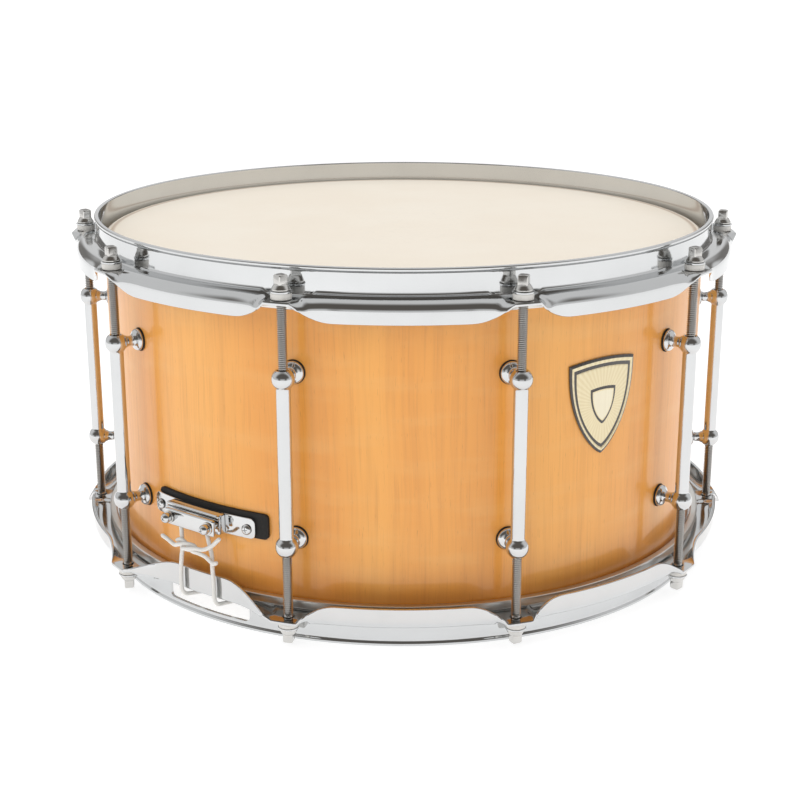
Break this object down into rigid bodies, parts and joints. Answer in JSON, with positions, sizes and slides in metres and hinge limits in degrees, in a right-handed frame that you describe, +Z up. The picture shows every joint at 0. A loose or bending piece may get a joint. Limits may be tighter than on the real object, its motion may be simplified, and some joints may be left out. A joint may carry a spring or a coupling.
{
  "type": "snare drum",
  "caption": "Wooden snare drum with tube lugs, flanged chrome hoops, two heads, corded snare wires, a butt plate and a throw-off strainer.",
  "frame": {"origin": "centre of the snare side hoop's rim, on the surface that the drum stands on", "axes": "+Z up along the drum's axis, towards the batter head; -Y is the front, halfway between two lugs, with the butt plate at its left and the badge at its right"},
  "size_m": [0.3978, 0.388, 0.2024],
  "materials": {
    "maple": "clear gloss lacquer over maple plies",
    "coated_film": "rough warm white coating",
    "clear_film": "thin hazy polyester",
    "flesh_aluminium": "plain drawn channel",
    "chrome": "bright plating",
    "rod_steel": "plated steel with a cut thread",
    "steel": "bright spring steel",
    "foam": "matte black foam",
    "cord": "plaited white cord",
    "badge_enamel": "pale gold with a dark border"
  },
  "bodies": {
    "drum": {"shell": "maple", "batter_head": "coated_film", "snare_side_head": "clear_film", "batter_flesh_hoop": "flesh_aluminium", "snare_flesh_hoop": "flesh_aluminium", "lug_01": "chrome", "lug_02": "chrome", "lug_03": "chrome", "lug_04": "chrome", "lug_05": "chrome", "lug_06": "chrome", "lug_07": "chrome", "lug_08": "chrome", "lug_09": "chrome", "lug_10": "chrome", "badge": "badge_enamel", "vent_grommet": "chrome", "butt_gasket": "foam", "butt_base": "chrome", "butt_mount_screw_1": "chrome", "butt_mount_screw_2": "chrome", "butt_cord": "cord", "strainer_gasket": "foam", "strainer_base": "chrome", "strainer_mount_screw_1": "chrome", "strainer_mount_screw_2": "chrome", "lever_pin": "steel"},
    "batter_hoop": {"batter_hoop": "chrome"},
    "snare_hoop": {"snare_hoop": "chrome"},
    "batter_rod_01": {"batter_rod_01": "rod_steel"},
    "batter_rod_02": {"batter_rod_02": "rod_steel"},
    "batter_rod_03": {"batter_rod_03": "rod_steel"},
    "batter_rod_04": {"batter_rod_04": "rod_steel"},
    "batter_rod_05": {"batter_rod_05": "rod_steel"},
    "batter_rod_06": {"batter_rod_06": "rod_steel"},
    "batter_rod_07": {"batter_rod_07": "rod_steel"},
    "batter_rod_08": {"batter_rod_08": "rod_steel"},
    "batter_rod_09": {"batter_rod_09": "rod_steel"},
    "batter_rod_10": {"batter_rod_10": "rod_steel"},
    "snare_rod_01": {"snare_rod_01": "rod_steel"},
    "snare_rod_02": {"snare_rod_02": "rod_steel"},
    "snare_rod_03": {"snare_rod_03": "rod_steel"},
    "snare_rod_04": {"snare_rod_04": "rod_steel"},
    "snare_rod_05": {"snare_rod_05": "rod_steel"},
    "snare_rod_06": {"snare_rod_06": "rod_steel"},
    "snare_rod_07": {"snare_rod_07": "rod_steel"},
    "snare_rod_08": {"snare_rod_08": "rod_steel"},
    "snare_rod_09": {"snare_rod_09": "rod_steel"},
    "snare_rod_10": {"snare_rod_10": "rod_steel"},
    "butt_clamp": {"butt_clamp_plate": "chrome"},
    "butt_clamp_screw_1": {"butt_clamp_screw_1": "chrome"},
    "butt_clamp_screw_2": {"butt_clamp_screw_2": "chrome"},
    "strainer_clamp": {"strainer_clamp_plate": "chrome"},
    "strainer_clamp_screw_1": {"strainer_clamp_screw_1": "chrome"},
    "strainer_clamp_screw_2": {"strainer_clamp_screw_2": "chrome"},
    "strainer_carriage": {"strainer_carriage": "chrome", "strainer_cord": "cord"},
    "tension_knob": {"tension_knob": "chrome"},
    "throw_off_lever": {"throw_off_lever": "chrome"},
    "snare_wires": {"snare_wires": "steel"}
  },
  "joints": [
    {"name": "batter_hoop_travel", "type": "slide", "parent": "drum", "child": "batter_hoop", "axis": [0, 0, 1], "range_m": [0, 0.003]},
    {"name": "snare_hoop_travel", "type": "slide", "parent": "drum", "child": "snare_hoop", "axis": [0, 0, -1], "range_m": [0, 0.0012]},
    {"name": "batter_rod_01_turn", "type": "hinge", "parent": "batter_hoop", "child": "batter_rod_01", "pos_m": [0.05933, -0.1826, 0.1712], "axis": [0, 0, 1], "range_deg": [0, 1021]},
    {"name": "batter_rod_02_turn", "type": "hinge", "parent": "batter_hoop", "child": "batter_rod_02", "pos_m": [0.15533, -0.11285, 0.1712], "axis": [0, 0, 1], "range_deg": [0, 1021]},
    {"name": "batter_rod_03_turn", "type": "hinge", "parent": "batter_hoop", "child": "batter_rod_03", "pos_m": [0.192, 0, 0.1712], "axis": [0, 0, 1], "range_deg": [0, 1021]},
    {"name": "batter_rod_04_turn", "type": "hinge", "parent": "batter_hoop", "child": "batter_rod_04", "pos_m": [0.15533, 0.11285, 0.1712], "axis": [0, 0, 1], "range_deg": [0, 1021]},
    {"name": "batter_rod_05_turn", "type": "hinge", "parent": "batter_hoop", "child": "batter_rod_05", "pos_m": [0.05933, 0.1826, 0.1712], "axis": [0, 0, 1], "range_deg": [0, 1021]},
    {"name": "batter_rod_06_turn", "type": "hinge", "parent": "batter_hoop", "child": "batter_rod_06", "pos_m": [-0.05933, 0.1826, 0.1712], "axis": [0, 0, 1], "range_deg": [0, 1021]},
    {"name": "batter_rod_07_turn", "type": "hinge", "parent": "batter_hoop", "child": "batter_rod_07", "pos_m": [-0.15533, 0.11285, 0.1712], "axis": [0, 0, 1], "range_deg": [0, 1021]},
    {"name": "batter_rod_08_turn", "type": "hinge", "parent": "batter_hoop", "child": "batter_rod_08", "pos_m": [-0.192, 0, 0.1712], "axis": [0, 0, 1], "range_deg": [0, 1021]},
    {"name": "batter_rod_09_turn", "type": "hinge", "parent": "batter_hoop", "child": "batter_rod_09", "pos_m": [-0.15533, -0.11285, 0.1712], "axis": [0, 0, 1], "range_deg": [0, 1021]},
    {"name": "batter_rod_10_turn", "type": "hinge", "parent": "batter_hoop", "child": "batter_rod_10", "pos_m": [-0.05933, -0.1826, 0.1712], "axis": [0, 0, 1], "range_deg": [0, 1021]},
    {"name": "snare_rod_01_turn", "type": "hinge", "parent": "snare_hoop", "child": "snare_rod_01", "pos_m": [0.05933, -0.1826, 0.0312], "axis": [0, 0, -1], "range_deg": [0, 409]},
    {"name": "snare_rod_02_turn", "type": "hinge", "parent": "snare_hoop", "child": "snare_rod_02", "pos_m": [0.15533, -0.11285, 0.0312], "axis": [0, 0, -1], "range_deg": [0, 409]},
    {"name": "snare_rod_03_turn", "type": "hinge", "parent": "snare_hoop", "child": "snare_rod_03", "pos_m": [0.192, 0, 0.0312], "axis": [0, 0, -1], "range_deg": [0, 409]},
    {"name": "snare_rod_04_turn", "type": "hinge", "parent": "snare_hoop", "child": "snare_rod_04", "pos_m": [0.15533, 0.11285, 0.0312], "axis": [0, 0, -1], "range_deg": [0, 409]},
    {"name": "snare_rod_05_turn", "type": "hinge", "parent": "snare_hoop", "child": "snare_rod_05", "pos_m": [0.05933, 0.1826, 0.0312], "axis": [0, 0, -1], "range_deg": [0, 409]},
    {"name": "snare_rod_06_turn", "type": "hinge", "parent": "snare_hoop", "child": "snare_rod_06", "pos_m": [-0.05933, 0.1826, 0.0312], "axis": [0, 0, -1], "range_deg": [0, 409]},
    {"name": "snare_rod_07_turn", "type": "hinge", "parent": "snare_hoop", "child": "snare_rod_07", "pos_m": [-0.15533, 0.11285, 0.0312], "axis": [0, 0, -1], "range_deg": [0, 409]},
    {"name": "snare_rod_08_turn", "type": "hinge", "parent": "snare_hoop", "child": "snare_rod_08", "pos_m": [-0.192, 0, 0.0312], "axis": [0, 0, -1], "range_deg": [0, 409]},
    {"name": "snare_rod_09_turn", "type": "hinge", "parent": "snare_hoop", "child": "snare_rod_09", "pos_m": [-0.15533, -0.11285, 0.0312], "axis": [0, 0, -1], "range_deg": [0, 409]},
    {"name": "snare_rod_10_turn", "type": "hinge", "parent": "snare_hoop", "child": "snare_rod_10", "pos_m": [-0.05933, -0.1826, 0.0312], "axis": [0, 0, -1], "range_deg": [0, 409]},
    {"name": "butt_clamp_open", "type": "slide", "parent": "drum", "child": "butt_clamp", "axis": [-0.6018, -0.7986, 0], "range_m": [0, 0.002]},
    {"name": "butt_clamp_screw_1_turn", "type": "hinge", "parent": "butt_clamp", "child": "butt_clamp_screw_1", "pos_m": [-0.12562, -0.14311, 0.0575], "axis": [-0.6018, -0.7986, 0], "range_deg": [0, 1030]},
    {"name": "butt_clamp_screw_2_turn", "type": "hinge", "parent": "butt_clamp", "child": "butt_clamp_screw_2", "pos_m": [-0.10294, -0.16021, 0.0575], "axis": [-0.6018, -0.7986, 0], "range_deg": [0, 1030]},
    {"name": "strainer_clamp_open", "type": "slide", "parent": "strainer_carriage", "child": "strainer_clamp", "axis": [0.5878, 0.809, 0], "range_m": [0, 0.002]},
    {"name": "strainer_clamp_screw_1_turn", "type": "hinge", "parent": "strainer_clamp", "child": "strainer_clamp_screw_1", "pos_m": [0.12133, 0.14658, 0.0547], "axis": [0.5878, 0.809, 0], "range_deg": [0, 1030]},
    {"name": "strainer_clamp_screw_2_turn", "type": "hinge", "parent": "strainer_clamp", "child": "strainer_clamp_screw_2", "pos_m": [0.10191, 0.16069, 0.0547], "axis": [0.5878, 0.809, 0], "range_deg": [0, 1030]},
    {"name": "throw_off", "type": "hinge", "parent": "drum", "child": "throw_off_lever", "pos_m": [0.11009, 0.15153, 0.1132], "axis": [-0.809, 0.5878, 0], "range_deg": [0, 100]},
    {"name": "carriage_drop", "type": "slide", "parent": "drum", "child": "strainer_carriage", "axis": [0, 0, -1], "range_m": [0, 0.005]},
    {"name": "wires_drop", "type": "hinge", "parent": "drum", "child": "snare_wires", "pos_m": [-0.09346, -0.12863, 0.0104], "axis": [-0.809, 0.5878, 0], "range_deg": [0, 0.901]},
    {"name": "tension_knob_turn", "type": "hinge", "parent": "strainer_carriage", "child": "tension_knob", "pos_m": [0.11015, 0.15161, 0.0772], "axis": [0, 0, 1], "continuous": true}
  ],
  "couplings": [
    {"joint": "batter_rod_01_turn", "follows": "batter_hoop_travel", "rad_per_m": 5936.9},
    {"joint": "batter_rod_02_turn", "follows": "batter_hoop_travel", "rad_per_m": 5936.9},
    {"joint": "batter_rod_03_turn", "follows": "batter_hoop_travel", "rad_per_m": 5936.9},
    {"joint": "batter_rod_04_turn", "follows": "batter_hoop_travel", "rad_per_m": 5936.9},
    {"joint": "batter_rod_05_turn", "follows": "batter_hoop_travel", "rad_per_m": 5936.9},
    {"joint": "batter_rod_06_turn", "follows": "batter_hoop_travel", "rad_per_m": 5936.9},
    {"joint": "batter_rod_07_turn", "follows": "batter_hoop_travel", "rad_per_m": 5936.9},
    {"joint": "batter_rod_08_turn", "follows": "batter_hoop_travel", "rad_per_m": 5936.9},
    {"joint": "batter_rod_09_turn", "follows": "batter_hoop_travel", "rad_per_m": 5936.9},
    {"joint": "batter_rod_10_turn", "follows": "batter_hoop_travel", "rad_per_m": 5936.9},
    {"joint": "snare_rod_01_turn", "follows": "snare_hoop_travel", "rad_per_m": 5936.9},
    {"joint": "snare_rod_02_turn", "follows": "snare_hoop_travel", "rad_per_m": 5936.9},
    {"joint": "snare_rod_03_turn", "follows": "snare_hoop_travel", "rad_per_m": 5936.9},
    {"joint": "snare_rod_04_turn", "follows": "snare_hoop_travel", "rad_per_m": 5936.9},
    {"joint": "snare_rod_05_turn", "follows": "snare_hoop_travel", "rad_per_m": 5936.9},
    {"joint": "snare_rod_06_turn", "follows": "snare_hoop_travel", "rad_per_m": 5936.9},
    {"joint": "snare_rod_07_turn", "follows": "snare_hoop_travel", "rad_per_m": 5936.9},
    {"joint": "snare_rod_08_turn", "follows": "snare_hoop_travel", "rad_per_m": 5936.9},
    {"joint": "snare_rod_09_turn", "follows": "snare_hoop_travel", "rad_per_m": 5936.9},
    {"joint": "snare_rod_10_turn", "follows": "snare_hoop_travel", "rad_per_m": 5936.9},
    {"joint": "butt_clamp_screw_1_turn", "follows": "butt_clamp_open", "rad_per_m": 8976},
    {"joint": "butt_clamp_screw_2_turn", "follows": "butt_clamp_open", "rad_per_m": 8976},
    {"joint": "strainer_clamp_screw_1_turn", "follows": "strainer_clamp_open", "rad_per_m": 8976},
    {"joint": "strainer_clamp_screw_2_turn", "follows": "strainer_clamp_open", "rad_per_m": 8976},
    {"joint": "carriage_drop", "follows": "throw_off", "m_per_rad": 0.0028645},
    {"joint": "wires_drop", "follows": "throw_off", "ratio": 0.0090082}
  ]
}
